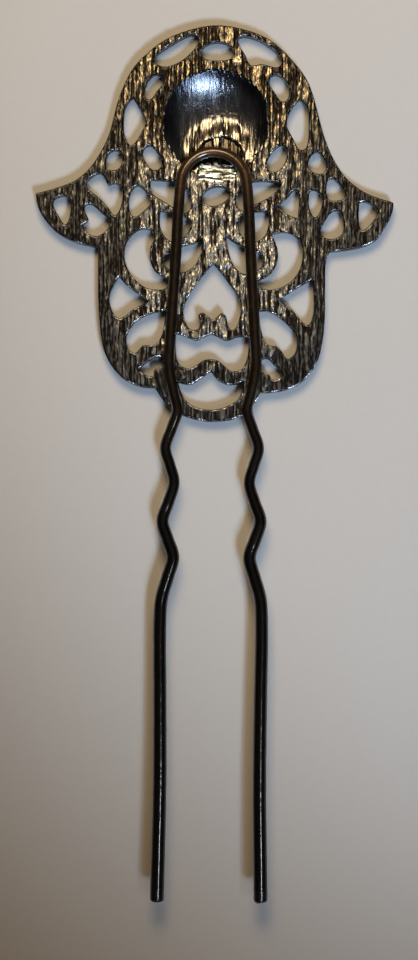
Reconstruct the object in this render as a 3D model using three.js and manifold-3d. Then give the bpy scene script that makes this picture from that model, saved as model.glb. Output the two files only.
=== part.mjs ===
// Hair fork with a cast openwork plate in the shape of an open hand.
// One bent wire makes the bow and both prongs, and is soldered to the back of the plate.
//
// Millimetres. +Z points out of the back of the plate, +Y from the prong tips to the
// top of the plate, and +X to the right as the back is looked at. The origin lies under
// the middle of the fork, in the plane that the front of the plate rests on.

import * as THREE from 'three';
import { mergeVertices } from 'three/addons/utils/BufferGeometryUtils.js';
import Module from 'manifold-3d';

// ---------------------------------------------------------------- driving dimensions

const PLATE_FOOT_Y = 5.3; // lowest edge of the plate
const PLATE_BACK_Z = 2.2; // back face, which the wire lies on
const WEB_FRONT_Z = 0.5; // front face of the openwork, behind the raised border
const BORDER_WIDTH = 0.9;

const DISH_X = 0.1; // middle of the hollow in the back, in plate coordinates
const DISH_Y = 37.4;
const DISH_RADIUS = 6.75;
const DISH_DEPTH = 1.6;
const DISH_WALL = 0.6;
const DISH_RING_RADIUS = 6.1; // raised ring round the boss on the front
const DISH_RING_WIDTH = 0.8;

const FLAT_WIDTH = 4.75; // filed flat that cuts across the lower rim of the hollow
const FLAT_LENGTH = 2.4;
const FLAT_FOOT_Y = 30.0; // where the flat runs out on the back face
const FLAT_SLOPE = THREE.MathUtils.degToRad(16);

const WIRE_RADIUS = 0.75;
const WIRE_SEAT = 0.02; // clearance between the wire and the plate
const WIRE_X = -0.1;
const BOW_Y = 34.7; // centre of the bow
const BOW_RADIUS = 4.15;
const PRONG_END_Y = -52.7; // where the bare wire ends, just short of the lacquer tip
const PRONG_LIFT = 1.8; // rise of the tips away from the plate's plane
const NECK_Y = 4.0; // where the prongs begin to rise

const TIP_RADIUS = 0.88;
const TIP_NECK_RADIUS = 0.8;
const TIP_ROUNDING = 0.5;
const TIP_LENGTH = 1.75;
const TIP_GAP = 0.3; // clearance between the end of the wire and its lacquer tip
const TIP_SIDES = 16;

const SOLDER_HEIGHT = 0.5;
const SOLDER_BEVEL = 0.15;

const SPAN_STEPS = 2; // straight pieces between two outline points
const WIRE_STEPS = 150;
const WIRE_SIDES = 10;
const ROUND_SIDES = 36;
const JOIN = 0.2; // how far shapes reach into each other before they become one solid
const BEYOND = 1; // how far a cutting body reaches past the surface that it cuts

// ---------------------------------------------------------------- outlines

// Plate coordinates: x from the centre line and y up from the plate's lowest edge.
// The curve is smooth through every point except the ones marked SHARP.
const SHARP = true;

const OUTLINE = [
  [-22.4, 28.3, SHARP], [-17.6, 29.9], [-15.3, 32], [-13.3, 35.7], [-12.2, 39.9], [-10.5, 43.8],
  [-8.4, 46.1], [-5.7, 48], [-0.5, 49.5], [3.7, 49], [7, 47.6], [9.7, 45.1], [11.5, 42.7],
  [12.5, 40], [13.4, 36.6], [14.6, 33.4], [16.4, 30.6], [19.1, 28.6], [22.4, 27.5, SHARP],
  [22.3, 26.4], [20.3, 22.8], [17.6, 21.7], [14.5, 21.3, SHARP], [14, 20], [13.9, 12.6],
  [13.1, 7.7], [11.3, 5.1], [9, 3.9], [6.1, 3.5, SHARP], [5, 2], [3.3, 0.5], [-0.2, -0.1],
  [-3.6, 0.6], [-5.9, 2.1], [-7.3, 4.1, SHARP], [-9, 4.2], [-11.4, 5.3], [-13.5, 8.2],
  [-14.3, 12.4], [-14.5, 17.5], [-14.5, 21.6, SHARP], [-16.8, 22.1], [-18.8, 22.9],
  [-20.5, 24.2], [-21.9, 26.2],
];

const OPENINGS = {
  brow_left: [
    [-7.6, 44.8], [-7.4, 45.7], [-6.3, 46.6], [-4.7, 47.6], [-3.2, 48.3], [-2.3, 48.2],
    [-2.1, 47.5], [-2.8, 46.4], [-3.9, 45.3], [-4.9, 44.7], [-6.3, 44.3],
  ],
  brow_middle: [
    [-1.8, 45.9], [-1.3, 46.9], [0.3, 47.4], [1.8, 46.9], [2.3, 46], [1.8, 45.3], [0.3, 45.1],
    [-1.3, 45.3],
  ],
  brow_right: [
    [2.8, 47.4], [3, 48.1], [3.9, 48.2], [5.3, 47.8], [6.8, 46.9], [7.9, 45.9], [8.3, 44.8],
    [7.7, 44.3], [5.9, 44.7], [4.4, 44.5], [3.8, 45.7],
  ],
  temple_left: [
    [-8.8, 41.3], [-8.4, 42.5], [-7.5, 43.3], [-6.7, 43], [-6.5, 42.2], [-7.2, 41.4],
    [-7.7, 40.6], [-8.3, 40.1], [-8.8, 40.6],
  ],
  temple_right: [
    [6.8, 42.7], [7.3, 43.4], [8.2, 43.1], [9.1, 42.1], [9.2, 40.7], [8.7, 40], [8.1, 40.2],
    [7.5, 41.1], [6.9, 41.9],
  ],
  cheek_left: [
    [-10.3, 40.4, SHARP], [-11.1, 39.4], [-11.4, 37.8], [-11.3, 35.8], [-10.6, 34.4],
    [-9.9, 34.9], [-8.6, 37.3, SHARP], [-9.3, 38.8],
  ],
  cheek_right: [
    [10.6, 40.3, SHARP], [9.7, 39.3], [9, 37.6], [9.1, 36.7], [9.9, 35.2], [10.5, 34.1],
    [11.3, 34.1], [11.7, 35.5], [11.7, 37.7], [11.5, 39.3],
  ],
  seed_inner_left: [
    [-9, 33.2], [-8.8, 34.1], [-8.1, 34.4], [-7.4, 33.8], [-6.6, 32.2], [-7.1, 31.4],
    [-7.8, 31.4], [-8.6, 32.3],
  ],
  seed_outer_left: [
    [-13.6, 32], [-13.4, 33.2], [-12.6, 33.8], [-11.9, 33.6], [-11.5, 32.8], [-12, 31.5],
    [-12.7, 31.3], [-13.5, 31.4],
  ],
  seed_inner_right: [
    [6.5, 32], [7, 33.4], [7.8, 34.3], [8.4, 34.6], [9, 33.8], [8.9, 32.7], [8, 31.4], [7, 31.3],
  ],
  seed_outer_right: [
    [11.7, 32.1], [12, 33.2], [12.9, 33.8], [13.5, 33.1], [14, 31.7], [13.3, 31], [12.4, 31.2],
    [11.8, 31.6],
  ],
  fin_seed_left: [
    [-20.2, 26.9], [-19.9, 27.7], [-19.1, 28], [-18.2, 27.7], [-18, 26.6], [-18.2, 25.1],
    [-18.7, 24.4], [-19.4, 25.4],
  ],
  arrow_left: [
    [-16.7, 24.3, SHARP], [-15.7, 25.1], [-16.2, 26], [-16.2, 26.9], [-15.4, 27], [-14.2, 26],
    [-13, 24.8], [-13.5, 23.8], [-14.7, 23], [-15.8, 23.4],
  ],
  boomerang_left: [
    [-16.2, 29.4], [-15.8, 30.1], [-14.8, 30.8], [-14.1, 30.8], [-13.6, 30], [-13.3, 29.4],
    [-12.5, 29.7], [-11.7, 29.2], [-11.5, 28], [-11.9, 26.3], [-12.5, 25.6], [-13.2, 26.5],
    [-14.4, 27.8], [-15.4, 28.6],
  ],
  shield_left: [
    [-10.7, 27], [-10.5, 28.4], [-9.8, 29.4], [-9.1, 29.1], [-7.9, 27.3], [-8.7, 26.4],
    [-9.8, 25.5], [-10.4, 25.7],
  ],
  wing_left: [
    [-8, 30.1, SHARP], [-6, 30], [-4.2, 29.6], [-3.1, 28.2], [-3, 26.6], [-3.9, 25.9],
    [-5.3, 26.8], [-6.8, 27.7], [-7.9, 28.6],
  ],
  lobe_left: [
    [-6.8, 26.2, SHARP], [-5.2, 26], [-3.5, 25.4], [-3, 24.5], [-3.5, 23.3], [-5, 22.3],
    [-6.3, 23.2], [-6.8, 24.5],
  ],
  almond: [
    [-1.6, 27.9], [-0.9, 28.9], [0.1, 29.3], [1.2, 29.2], [2, 28.6], [1.3, 27.5], [-0.1, 26.9],
    [-1.1, 27.2],
  ],
  wing_right: [
    [8.3, 29.9, SHARP], [6.9, 30], [5, 30], [3.8, 29.5], [2.8, 28.3], [2.8, 26.9], [3.7, 26.3],
    [5.2, 27.2], [6.6, 27.9], [7.8, 28.9],
  ],
  lobe_right: [
    [6.8, 26.2, SHARP], [5.1, 26.2], [3.7, 26], [3.1, 25], [3.2, 23.6], [4.1, 22.7], [5.2, 22.5],
    [6.3, 23.2], [6.8, 24.7],
  ],
  fin_seed_right: [
    [18.1, 27.4, SHARP], [18.9, 27.6], [20.4, 26.5], [20, 25.4], [18.5, 23.9], [18.1, 25],
  ],
  fin_drop_lower: [
    [13.3, 23.7], [13.8, 25], [14.7, 26.3], [15.6, 26.4], [16.1, 25], [16.1, 23.7], [15, 22.9],
    [13.7, 23.1],
  ],
  fin_drop_upper: [
    [14, 28.7], [14.2, 30.2], [14.8, 30.5], [15.7, 29.6], [16.4, 28.2], [15.4, 27.7],
    [14.3, 27.8],
  ],
  fin_drop_inner: [
    [11.8, 28], [12.1, 29], [12.9, 28.8], [13.5, 27.7], [13.2, 26.3], [12.6, 25.5], [12, 26.3],
  ],
  shield_right: [
    [7.9, 26.9, SHARP], [9.2, 28.1], [10.1, 29.1], [10.6, 28.1], [10.5, 26.4],
    [10.5, 25.4, SHARP], [9.2, 25.9],
  ],
  crescent_left: [
    [-7.4, 22.7, SHARP], [-8, 21.7], [-8, 20.2], [-7.4, 18.7], [-5.4, 17.5, SHARP], [-6.2, 16.5],
    [-8.4, 16.6], [-10, 17.8], [-11, 19.5], [-11.2, 21.3], [-10.5, 23], [-9, 24], [-7.9, 23.7],
  ],
  crescent_right: [
    [7.2, 23.4, SHARP], [7.9, 21.7], [7.9, 19.9], [7, 18.4], [5.3, 17.5, SHARP], [6.1, 16.6],
    [7.9, 16.6], [9.8, 17.7], [10.9, 19.6], [11, 21.7], [10.1, 23.2], [8.7, 23.7],
  ],
  leaf_left: [
    [-1.5, 22.8, SHARP], [-1.6, 21.4], [-2.4, 19.5], [-3.9, 18.6], [-5.5, 18.9], [-6.5, 20],
    [-5.5, 21], [-4.1, 21.8], [-2.6, 22.2],
  ],
  leaf_right: [
    [1.5, 23.1, SHARP], [2.9, 22.1], [4.5, 21.5], [5.9, 20.8], [6.1, 19.7], [5, 18.6],
    [3.5, 18.5], [2.2, 20],
  ],
  side_left: [
    [-11.9, 18, SHARP], [-10.9, 16.9], [-8.1, 14.9, SHARP], [-10.1, 13.9], [-11.8, 12.7],
    [-12.8, 13.9], [-13, 15.8],
  ],
  side_right: [
    [12.3, 17.8, SHARP], [10.4, 16.7], [8.1, 15.2, SHARP], [9.8, 14], [11.7, 12], [12.4, 13.2],
    [12.5, 15.6],
  ],
  spade: [
    [-0.1, 19.7, SHARP], [-1.6, 17.9], [-3.2, 15.5], [-3.8, 13.8], [-3.3, 11.9], [-2.8, 11.4],
    [-1.9, 11.5], [-1.7, 12.5], [-2, 13.2], [-1.3, 13.6], [-0.1, 12.6], [1, 13.6], [1.6, 13],
    [1.8, 11.9], [2.4, 11.3], [3.2, 12.8], [3.3, 14.8], [2.1, 16.9],
  ],
  bean_left: [
    [-6, 13.8, SHARP], [-7.8, 13.4], [-9.8, 12.3], [-10.9, 10.4], [-10.6, 8.9], [-9.7, 8.4],
    [-8.9, 9.4], [-7.3, 9.5], [-6.4, 11],
  ],
  bean_right: [
    [5.6, 13.7, SHARP], [6.7, 13.8], [8.7, 12.6], [10.3, 10.7], [10.3, 8.8], [9.3, 7.8],
    [8.6, 8.7], [7.9, 9.4], [6.7, 9.6], [6, 11.3],
  ],
  eye_left: [
    [-9.3, 6.4, SHARP], [-7.9, 7.6], [-6.7, 8], [-6.3, 7.1], [-7, 5.8], [-8.3, 5.6],
  ],
  eye_right: [
    [5.8, 7.3], [6.6, 7.9], [7.6, 7.1], [8.7, 5.9], [7.7, 5.2], [6.5, 5.8],
  ],
  smile_upper: [
    [-4.7, 10.9, SHARP], [-3.4, 10.5], [-2.1, 10], [-0.3, 10.9], [1.6, 10], [2.9, 10.5],
    [4.4, 10.5, SHARP], [4.3, 8.3], [3.5, 6.5], [2.2, 6.3], [0.5, 7.6], [-1.2, 7.6], [-3, 6.5],
    [-4.4, 7.3],
  ],
  smile_lower: [
    [-4.4, 4.8, SHARP], [-2.9, 4.5], [-1.4, 5.4], [-0.3, 6.2, SHARP], [0.7, 5], [2.4, 4.5],
    [3.8, 5, SHARP], [3.2, 2.9], [1.6, 1.8], [-0.1, 1.4], [-2.1, 1.7], [-3.6, 2.8],
  ],
};

// Fillets of solder beside the legs of the wire, in plate coordinates.
const SOLDER = {
  solder_left_outer: [[-7.4, 6.4], [-6.6, 6.6], [-6.3, 4.4], [-5.8, 3.0], [-6.2, 2.9], [-7.1, 4.4]],
  solder_left_inner: [[-4.3, 6.3], [-3.6, 6.2], [-3.4, 5.5], [-4.0, 5.2]],
  solder_right_inner: [[3.3, 6.2], [3.9, 6.3], [3.8, 5.2], [3.2, 5.1]],
  solder_right_outer: [[6.5, 6.0], [7.2, 5.6], [6.7, 4.2], [6.1, 4.3], [6.2, 5.4]],
};

// One leg of the wire: half width of the fork and height along it, from the bow to the tip.
const LEG = [
  [4.45, 30.8], [4.6, 27.3], [4.95, 21.0], [5.3, 15.4], [5.4, 11.8], [4.85, 8.8],
  [4.35, 6.6], [5.05, 4.3], [5.8, 1.9], [5.25, -0.2], [4.7, -2.4], [5.35, -4.8],
  [6.1, -7.2], [5.45, -9.5], [4.77, -11.7], [5.4, -14.2], [6.15, -16.9], [6.33, -20.0],
  [6.25, -29.7], [6.2, -40.2], [6.4, PRONG_END_Y],
];

// ---------------------------------------------------------------- materials

const gunmetal = () => new THREE.MeshStandardMaterial({ color: 0x4a4238, roughness: 0.4, metalness: 1.0 });
const lacquer = () => new THREE.MeshStandardMaterial({ color: 0x14110f, roughness: 0.2, metalness: 0.4 });
const solder = () => new THREE.MeshStandardMaterial({ color: 0x55534f, roughness: 0.3, metalness: 1.0 });

// ---------------------------------------------------------------- shape helpers

const wasm = await Module();
wasm.setup();

/** A closed geometry as a manifold solid. */
function solid(geometry) {
  const bare = geometry.index ? geometry.toNonIndexed() : geometry.clone();
  bare.deleteAttribute('normal');
  bare.deleteAttribute('uv');
  const merged = mergeVertices(bare, 1e-4);
  return new wasm.Manifold(new wasm.Mesh({
    numProp: 3,
    vertProperties: new Float32Array(merged.attributes.position.array),
    triVerts: new Uint32Array(merged.index.array),
  }));
}

/** A manifold solid as a geometry. */
function geometryOf(body) {
  const { vertProperties, triVerts } = body.getMesh();
  const geometry = new THREE.BufferGeometry();
  geometry.setAttribute('position', new THREE.BufferAttribute(vertProperties, 3));
  geometry.setIndex(new THREE.BufferAttribute(triVerts, 1));
  geometry.computeVertexNormals();
  return geometry;
}

/** Points along a smooth curve through one run of outline points, without the last one. */
function smoothRun(run, closed) {
  const spans = closed ? run.length : run.length - 1;
  const stations = run.map(([x, y]) => new THREE.Vector3(x, y, 0));
  const curve = new THREE.CatmullRomCurve3(stations, closed, 'centripetal');
  const count = spans * SPAN_STEPS;
  const points = [];
  for (let i = 0; i < count; i += 1) {
    const { x, y } = curve.getPoint(i / count);
    points.push(new THREE.Vector2(x, y));
  }
  return points;
}

/** The whole of an outline, smooth except at its sharp points. */
function outlinePoints(outline) {
  const first = outline.findIndex((point) => point[2] === SHARP);
  if (first < 0) return smoothRun(outline, true);
  const cycled = [...outline.slice(first), ...outline.slice(0, first), outline[first]];
  const points = [];
  let start = 0;
  for (let i = 1; i < cycled.length; i += 1) {
    if (cycled[i][2] === SHARP) {
      points.push(...smoothRun(cycled.slice(start, i + 1), false));
      start = i;
    }
  }
  return points;
}

/** Distance from a point to the nearest side of a closed polygon. */
function distanceToPolygon(point, polygon) {
  const side = new THREE.Line3();
  const nearest = new THREE.Vector3();
  const probe = new THREE.Vector3(point.x, point.y, 0);
  let least = Infinity;
  polygon.forEach((corner, i) => {
    const next = polygon[(i + 1) % polygon.length];
    side.start.set(corner.x, corner.y, 0);
    side.end.set(next.x, next.y, 0);
    side.closestPointToPoint(probe, true, nearest);
    least = Math.min(least, nearest.distanceTo(probe));
  });
  return least;
}

/** A polygon moved inwards by a distance, with the points that fold over left out. */
function insetPolygon(polygon, distance) {
  const inward = THREE.ShapeUtils.isClockWise(polygon) ? -1 : 1;
  const tolerance = 0.02;
  const moved = polygon.map((point, i) => {
    const before = polygon[(i + polygon.length - 1) % polygon.length];
    const after = polygon[(i + 1) % polygon.length];
    const along = after.clone().sub(before).normalize();
    return new THREE.Vector2(point.x - inward * distance * along.y, point.y + inward * distance * along.x);
  });
  return moved.filter((point) => distanceToPolygon(point, polygon) > distance - tolerance);
}

/** A flat-sided block with the given outline between two heights. */
function block(points, low, high) {
  const shape = new THREE.Shape(points);
  const geometry = new THREE.ExtrudeGeometry(shape, { depth: high - low, bevelEnabled: false, steps: 1 });
  return geometry.translate(0, 0, low);
}

/** A solid turned about the Z axis of the hollow, from a profile of (radius, z) points. */
function turned(profile) {
  const points = profile.map(([radius, z]) => new THREE.Vector2(radius, z));
  const geometry = new THREE.LatheGeometry(points, ROUND_SIDES);
  return geometry.rotateX(Math.PI / 2).translate(DISH_X, DISH_Y, 0);
}

/** Profile points of a ball's lower cap, from its lowest point out to a height. */
function capProfile(ballRadius, lowZ, highZ, steps) {
  const widest = Math.acos(1 - (highZ - lowZ) / ballRadius);
  const profile = [];
  for (let i = 0; i <= steps; i += 1) {
    const angle = (widest * i) / steps;
    profile.push([ballRadius * Math.sin(angle), lowZ + ballRadius * (1 - Math.cos(angle))]);
  }
  return profile;
}

// ---------------------------------------------------------------- the cast plate

const dishBall = (DISH_RADIUS ** 2 + DISH_DEPTH ** 2) / (2 * DISH_DEPTH);
const dishFloorZ = PLATE_BACK_Z - DISH_DEPTH;

/** The rounded hollow in the back, as the body to take away. */
function dishHollow() {
  const above = PLATE_BACK_Z + BEYOND;
  const profile = capProfile(dishBall, dishFloorZ, above, 8);
  profile.push([0, above]);
  return solid(turned(profile));
}

/** The low boss on the front, which keeps the wall of the hollow even. */
function boss() {
  const inside = WEB_FRONT_Z + JOIN;
  const profile = capProfile(dishBall + DISH_WALL, dishFloorZ - DISH_WALL, inside, 6);
  profile.push([0, inside]);
  return solid(turned(profile));
}

/** The raised ring round the boss. */
function bossRing() {
  const inner = DISH_RING_RADIUS - DISH_RING_WIDTH / 2;
  const outer = DISH_RING_RADIUS + DISH_RING_WIDTH / 2;
  const inside = WEB_FRONT_Z + JOIN;
  const shoulder = 0.15;
  return solid(turned([
    [inner, inside],
    [inner, shoulder],
    [inner + shoulder, 0],
    [outer - shoulder, 0],
    [outer, shoulder],
    [outer, inside],
    [inner, inside],
  ]));
}

/** The body that leaves a filed flat on the lower rim of the hollow, inside the bow. */
function filedFlat() {
  const geometry = new THREE.BoxGeometry(FLAT_WIDTH, 2 * FLAT_LENGTH, BEYOND);
  geometry.translate(0, 0, BEYOND / 2);
  geometry.rotateX(-FLAT_SLOPE);
  return solid(geometry.translate(DISH_X, FLAT_FOOT_Y, PLATE_BACK_Z));
}

function plateGeometry() {
  const outline = outlinePoints(OUTLINE);
  let plate = solid(block(outline, 0, PLATE_BACK_Z));
  plate = plate.subtract(solid(block(insetPolygon(outline, BORDER_WIDTH), -BEYOND, WEB_FRONT_Z)));
  plate = plate.add(boss()).add(bossRing()).subtract(dishHollow()).subtract(filedFlat());
  for (const opening of Object.values(OPENINGS)) {
    const cutter = block(outlinePoints(opening), -BEYOND, PLATE_BACK_Z + BEYOND);
    plate = plate.subtract(solid(cutter));
  }
  return geometryOf(plate);
}

// ---------------------------------------------------------------- the wire and its ends

const wireZ = PLATE_BACK_Z + WIRE_SEAT + WIRE_RADIUS;
const prongSlope = PRONG_LIFT / (NECK_Y - PRONG_END_Y);

/** Height of the wire's centre line at a place along the fork. */
function wireHeight(y) {
  return wireZ + Math.max(0, NECK_Y - y) * prongSlope;
}

/** Centre line of the wire: up the left leg, round the bow and down the right leg. */
function wireCurve() {
  const point = (halfWidth, y) => new THREE.Vector3(WIRE_X + halfWidth, y, wireHeight(y));
  const left = [...LEG].reverse().map(([halfWidth, y]) => point(-halfWidth, y));
  const right = LEG.map(([halfWidth, y]) => point(halfWidth, y));
  const bow = [];
  const bowSteps = 8;
  for (let i = 0; i <= bowSteps; i += 1) {
    const angle = Math.PI * (1 - i / bowSteps);
    bow.push(point(BOW_RADIUS * Math.cos(angle), BOW_Y + BOW_RADIUS * Math.sin(angle)));
  }
  return new THREE.CatmullRomCurve3([...left, ...bow, ...right], false, 'centripetal');
}

function wireGeometry() {
  const section = [];
  for (let i = 0; i < WIRE_SIDES; i += 1) {
    const angle = (2 * Math.PI * i) / WIRE_SIDES;
    section.push(new THREE.Vector2(WIRE_RADIUS * Math.cos(angle), WIRE_RADIUS * Math.sin(angle)));
  }
  return new THREE.ExtrudeGeometry(new THREE.Shape(section), {
    steps: WIRE_STEPS,
    extrudePath: wireCurve(),
    bevelEnabled: false,
  });
}

/** A drop of lacquer with a rounded end, its axis along Y and its flat side at y = 0. */
function tipGeometry() {
  const profile = [new THREE.Vector2(0, -TIP_LENGTH)];
  const roundSteps = 4;
  for (let i = 0; i <= roundSteps; i += 1) {
    const angle = (Math.PI / 2) * (i / roundSteps);
    const radius = TIP_RADIUS - TIP_ROUNDING * (1 - Math.sin(angle));
    profile.push(new THREE.Vector2(radius, TIP_ROUNDING * (1 - Math.cos(angle)) - TIP_LENGTH));
  }
  profile.push(new THREE.Vector2(TIP_NECK_RADIUS, 0));
  profile.push(new THREE.Vector2(0, 0));
  return new THREE.LatheGeometry(profile, TIP_SIDES);
}

// ---------------------------------------------------------------- assembly

const fork = new THREE.Group();

function addMesh(parent, name, geometry, material) {
  const mesh = new THREE.Mesh(geometry, material);
  mesh.name = name;
  parent.add(mesh);
  return mesh;
}

const plateGroup = new THREE.Group();
plateGroup.position.y = PLATE_FOOT_Y;
fork.add(plateGroup);

addMesh(plateGroup, 'hamsa_plate', plateGeometry(), gunmetal());

for (const [name, corners] of Object.entries(SOLDER)) {
  const shape = new THREE.Shape(corners.map(([x, y]) => new THREE.Vector2(x, y)));
  const geometry = new THREE.ExtrudeGeometry(shape, {
    depth: SOLDER_HEIGHT - 2 * SOLDER_BEVEL,
    bevelThickness: SOLDER_BEVEL,
    bevelSize: SOLDER_BEVEL,
    bevelOffset: -SOLDER_BEVEL,
    bevelSegments: 1,
    steps: 1,
  });
  const fillet = addMesh(plateGroup, name, geometry, solder());
  fillet.position.z = PLATE_BACK_Z + WIRE_SEAT + SOLDER_BEVEL;
}

addMesh(fork, 'fork_wire', wireGeometry(), lacquer());

const [legHalfWidth] = LEG[LEG.length - 1];
for (const [name, side] of [['lacquer_tip_left', -1], ['lacquer_tip_right', 1]]) {
  const tip = addMesh(fork, name, tipGeometry(), lacquer());
  const tipY = PRONG_END_Y - TIP_GAP;
  tip.position.set(WIRE_X + side * legHalfWidth, tipY, wireHeight(tipY));
  tip.rotation.x = -Math.atan(prongSlope);
}

export default fork;
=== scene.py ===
"""Looks of the hair fork: cast openwork plate, bent wire, solder and lacquered tips.

The plate lies front side down and is seen from its back. Shapes are worked out in
millimetres and turned into metres when a mesh is made. Lamp distances and the noise
scales of materials are in metres.
"""

import math

import bpy
import numpy as np
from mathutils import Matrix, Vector
from mathutils.geometry import delaunay_2d_cdt
from mathutils.kdtree import KDTree


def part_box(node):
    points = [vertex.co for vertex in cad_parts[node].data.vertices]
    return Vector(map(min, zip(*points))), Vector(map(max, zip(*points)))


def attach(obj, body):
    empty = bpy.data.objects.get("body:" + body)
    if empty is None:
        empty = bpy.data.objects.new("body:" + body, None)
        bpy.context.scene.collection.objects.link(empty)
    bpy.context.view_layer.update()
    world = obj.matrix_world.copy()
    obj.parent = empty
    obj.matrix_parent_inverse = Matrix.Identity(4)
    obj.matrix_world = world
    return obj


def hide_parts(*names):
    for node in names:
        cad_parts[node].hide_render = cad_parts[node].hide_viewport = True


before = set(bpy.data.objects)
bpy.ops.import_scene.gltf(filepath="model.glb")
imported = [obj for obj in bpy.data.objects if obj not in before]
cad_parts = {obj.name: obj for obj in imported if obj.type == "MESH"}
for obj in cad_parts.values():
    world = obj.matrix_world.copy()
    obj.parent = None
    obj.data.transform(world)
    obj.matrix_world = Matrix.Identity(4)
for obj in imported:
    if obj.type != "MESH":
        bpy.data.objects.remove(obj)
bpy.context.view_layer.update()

MM = 0.001


def in_metres(values):
    return tuple(value * MM for value in values)


def node_box(name):
    """A CAD node's lowest and highest corners in millimetres."""
    low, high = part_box(name)
    return np.array(low) / MM, np.array(high) / MM


plate_low, plate_high = node_box("hamsa_plate")
wire_low, wire_high = node_box("fork_wire")

# ------------------------------------------------------------------ plate dimensions, mm

BACK_Z = plate_high[2]
FRONT_Z = plate_low[2]
FOOT_Y = plate_low[1]
WEB_FRONT_Z = FRONT_Z + 0.5  # front of the openwork behind its raised border
BORDER = 0.9
BORDER_SHOULDER = 0.3
EDGE_ROUND = 0.17
FRONT_WAVES = 0.012

DISH = np.array([0.1, FOOT_Y + 37.4])
DISH_RADIUS = 6.75
DISH_DEPTH = 1.6
DISH_WALL = 0.6
DISH_BALL = (DISH_RADIUS**2 + DISH_DEPTH**2) / (2 * DISH_DEPTH)  # radius of its curve
DISH_FLOOR_Z = BACK_Z - DISH_DEPTH
DISH_RAGGED = 0.42  # how far the grain frays the dish's rim
DISH_LOOK = (0.03, -0.05)  # where the bare metal starts and is full, from the rim
RIM_PAINTED_REFLECTION = (-2.5, -0.6)  # painted dark reflection: the dark band just inside the rim, from the rim
RIM_UPPER = (-4.5, -0.5)  # it fades out in the lower half, from the middle
RIM_BEAD = (0.35, 0.05, 0.1)  # half width at the foot, at the top, place outside the rim
PITTED = np.array([0.9, DISH[1] + 1.9])
PITTED_WIDE = 1.3  # width over height
PITTED_OUT = (2.6, 0.8)  # where the pits start and are deepest
RING_RADIUS = 6.1  # raised ring round the boss on the front
RING_HALF = (0.55, 0.3)  # half width at its foot and at its top

FACET_X = (-2.05, 2.7)  # filed patch on the lower wall of the dish
FACET_FOOT = FOOT_Y + 29.95
FACET_TOP = FOOT_Y + 32.15
FACET_SLOPE = math.tan(math.radians(16))
FACET_RAGGED = 0.25

MOUND = np.array([0.64, FOOT_Y + 34.1])  # metal that holds the bow in the dish
MOUND_RADIUS = 3.85
MOUND_HEIGHT = 0.5
MOUND_WIDE = 1.2  # width over height
MOUND_SIDES = (0.3, -2.1)  # where it starts and is full, from its radius
MOUND_GILT = (0.6, -0.8)  # where its gilt starts and is full
PIT_HALF = (2.8, 2.25)  # recess in the mound, behind the bow, darkened with soot and painted shade
PIT_DROP = 0.5
PIT_DEPTH = 0.36
POST_LEFT = 0.45  # a post that stands in the recess
POST_HALF = (0.62, 0.3)  # half width at its foot and at its top
SOOT_AND_SHADE_HALF = (1.35, 0.85)  # strip behind the wire darkened with soot and the wire's painted shadow

BACK_LEVEL = 0.09  # middle height of the grain under the CAD back
RELIEF = 0.15  # how deep the grain is
LIP_IN = (0.34, 0.16)  # dark line along the edges, from the edge
GLINT_IN = (0.24, 0.16)  # painted highlight: bright dashes on it

# Zones of the back: where each one starts and where it is full, in millimetres above
# the foot or out from the middle line.
CALM_OUT = (7, 11.5)
CALM_UNDER = (47, 38)
# CALM_LOW and CALM_FOOT make the casting darker towards the foot as painted shade.
CALM_LOW = (16, 5)
CALM_FOOT = (12, 3)
CALM_WINGS = (11, 15)
# GOLD_OVER: where the ridges turn golden with painted warm-lamp sheen.
GOLD_OVER = (27, 40)
# RUBBED_ zones: where more ridges turn bright, as wear and painted sheen.
RUBBED_TOP = (38, 45)
RUBBED_IN = (13, 4)
RUBBED_OVER = (4, 16)
# GLINTS_UNDER: painted rim highlights are strongest below it.
GLINTS_UNDER = (30, 14)

# Noise marks on the metal: how wide and how long each kind is, and its seed.
FURROWS = ((0.21, 5.0), 1)
DASHES = ((0.27, 1.2), 2)
FLECKS = ((0.24, 0.6), 3)
FURROW_SWAY = ((2.5, 6), 11)
HAIR_SCRATCHES = ((0.13, 1.6), 5)
DISH_SCRATCHES = ((0.4, 2.4), 6)
DISH_PITS = ((0.24, 0.30), 7)
LONG_STROKES = ((1.6, 0.16), 8)
SHORT_STROKES = ((0.5, 0.11), 9)
FACET_ENDS = ((0.6, 0.3), 10)
PIT_WOBBLE = ((0.45, 0.9), 17)
MOUND_WAVES = ((0.3, 2.4), 18)
MOUND_FRAY = ((0.3, 1.6), 19)
RIM_FRAY = ((0.30, 1.3), 21)
RIM_BEADS = ((0.3, 0.45), 22)
GLINT_DASHES = ((0.7, 0.5), 24)
CALM_CLOUDS = ((3, 4), 31)
GOLD_CLOUDS = ((2, 3), 33)
FRONT_GRAIN = ((0.5, 0.7), 41)
SOLDER_LUMPS = ((0.6, 0.8), 61)

CONTOUR_STEP = 0.14
CORNER = math.radians(42)  # a sharper turn in a CAD loop is a real corner
MIN_OPENING = 0.5  # area in square millimetres
BACK_STEP = 0.135
BACK_INSETS = (0.03, 0.08, 0.15, 0.24)  # rows of points inside an edge
FRONT_STEP = 0.3
FRONT_INSETS = (0.09, 0.22)
DISH_ROWS = (-0.07, 0.0, 0.07)  # rings of points about the dish's rim
WALL_ROWS = 2
ROW_HEIGHT = 0.866  # of a row of equal-sided triangles, as a share of the step
FIRST_ROW = 0.37  # height of the first row, as a share of the step

# ------------------------------------------------------------------ wire dimensions, mm

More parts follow.
